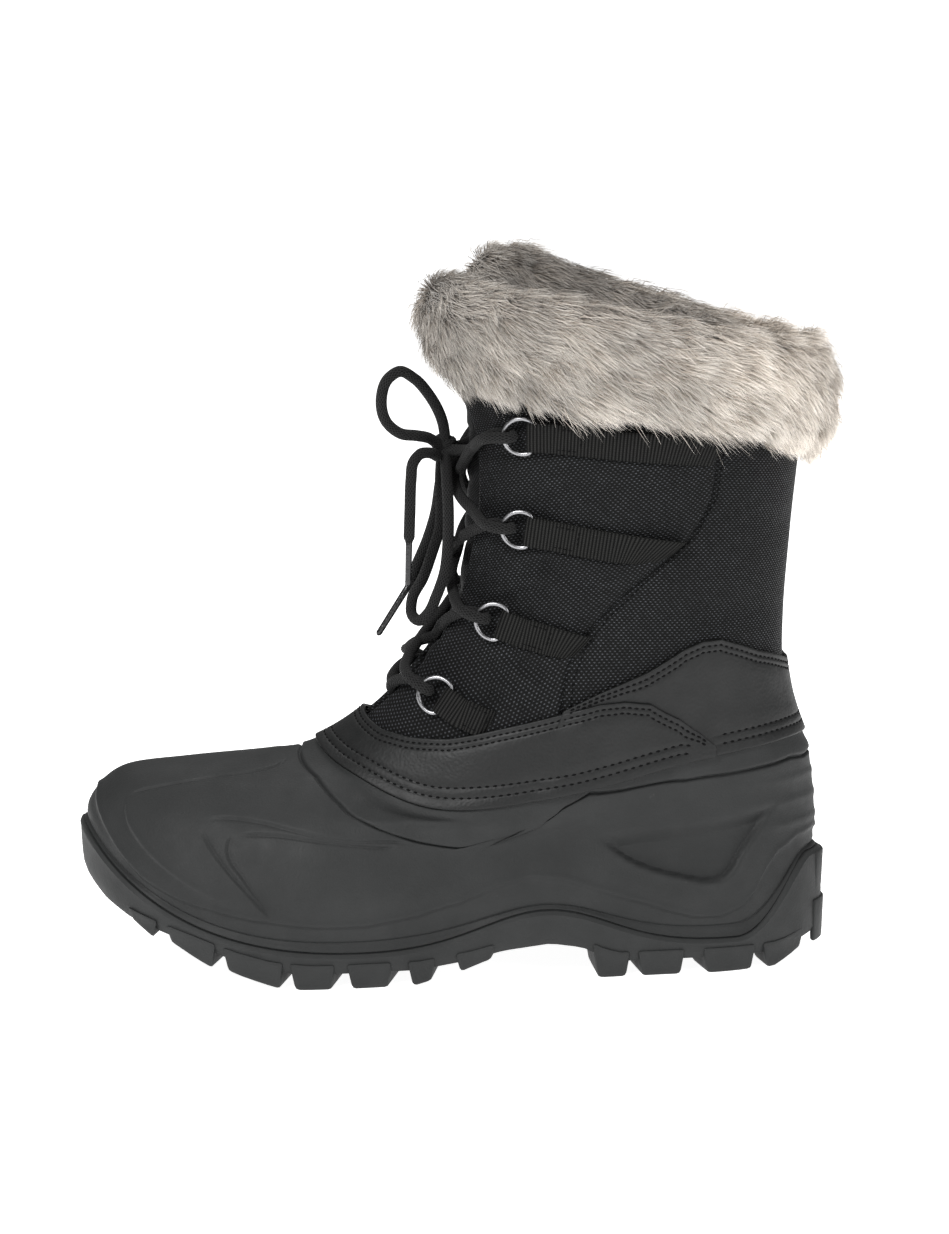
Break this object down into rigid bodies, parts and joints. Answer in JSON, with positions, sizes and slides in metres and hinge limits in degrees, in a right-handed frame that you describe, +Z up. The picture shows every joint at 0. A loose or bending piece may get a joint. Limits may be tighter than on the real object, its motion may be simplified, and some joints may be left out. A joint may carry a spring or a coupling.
{
  "type": "lace-up winter boot",
  "caption": "Left winter boot: moulded rubber shell on a lugged sole, padded nylon leg, D-ring lacing tied in a bow, and a fur collar.",
  "frame": {"origin": "middle of the boot's box on the plane that the sole stands on", "axes": "-X towards the toe, -Y towards the outer side of the left foot, +Z up the leg"},
  "size_m": [0.293, 0.1226, 0.278],
  "materials": {
    "sole_rubber": "moulded, matt",
    "shell_rubber": "moulded, satin",
    "nylon": "woven",
    "tongue_nylon": "fine woven",
    "synthetic_leather": "smooth, semi-matt",
    "felt": "felted",
    "faux_fur": "long pile",
    "webbing": "ribbed",
    "steel": "dark plated wire",
    "lace_yarn": "braided",
    "aglet_film": "heat-shrunk film"
  },
  "bodies": {
    "root": {"outsole": "sole_rubber", "shell": "shell_rubber", "upper": "nylon", "mudguard": "synthetic_leather", "heel_counter": "synthetic_leather", "tongue": "tongue_nylon", "insole": "felt", "fur_collar": "faux_fur", "strap_outer_1": "webbing", "strap_outer_2": "webbing", "strap_outer_3": "webbing", "strap_outer_4": "webbing", "strap_inner_1": "webbing", "strap_inner_2": "webbing", "strap_inner_3": "webbing", "strap_inner_4": "webbing", "ring_outer_1": "steel", "ring_outer_2": "steel", "ring_outer_3": "steel", "ring_outer_4": "steel", "ring_inner_1": "steel", "ring_inner_2": "steel", "ring_inner_3": "steel", "ring_inner_4": "steel", "lace_crossings": "lace_yarn", "lace_bow": "lace_yarn", "lace_end_1": "lace_yarn", "lace_end_2": "lace_yarn", "aglet_1": "aglet_film", "aglet_2": "aglet_film"}
  },
  "joints": []
}
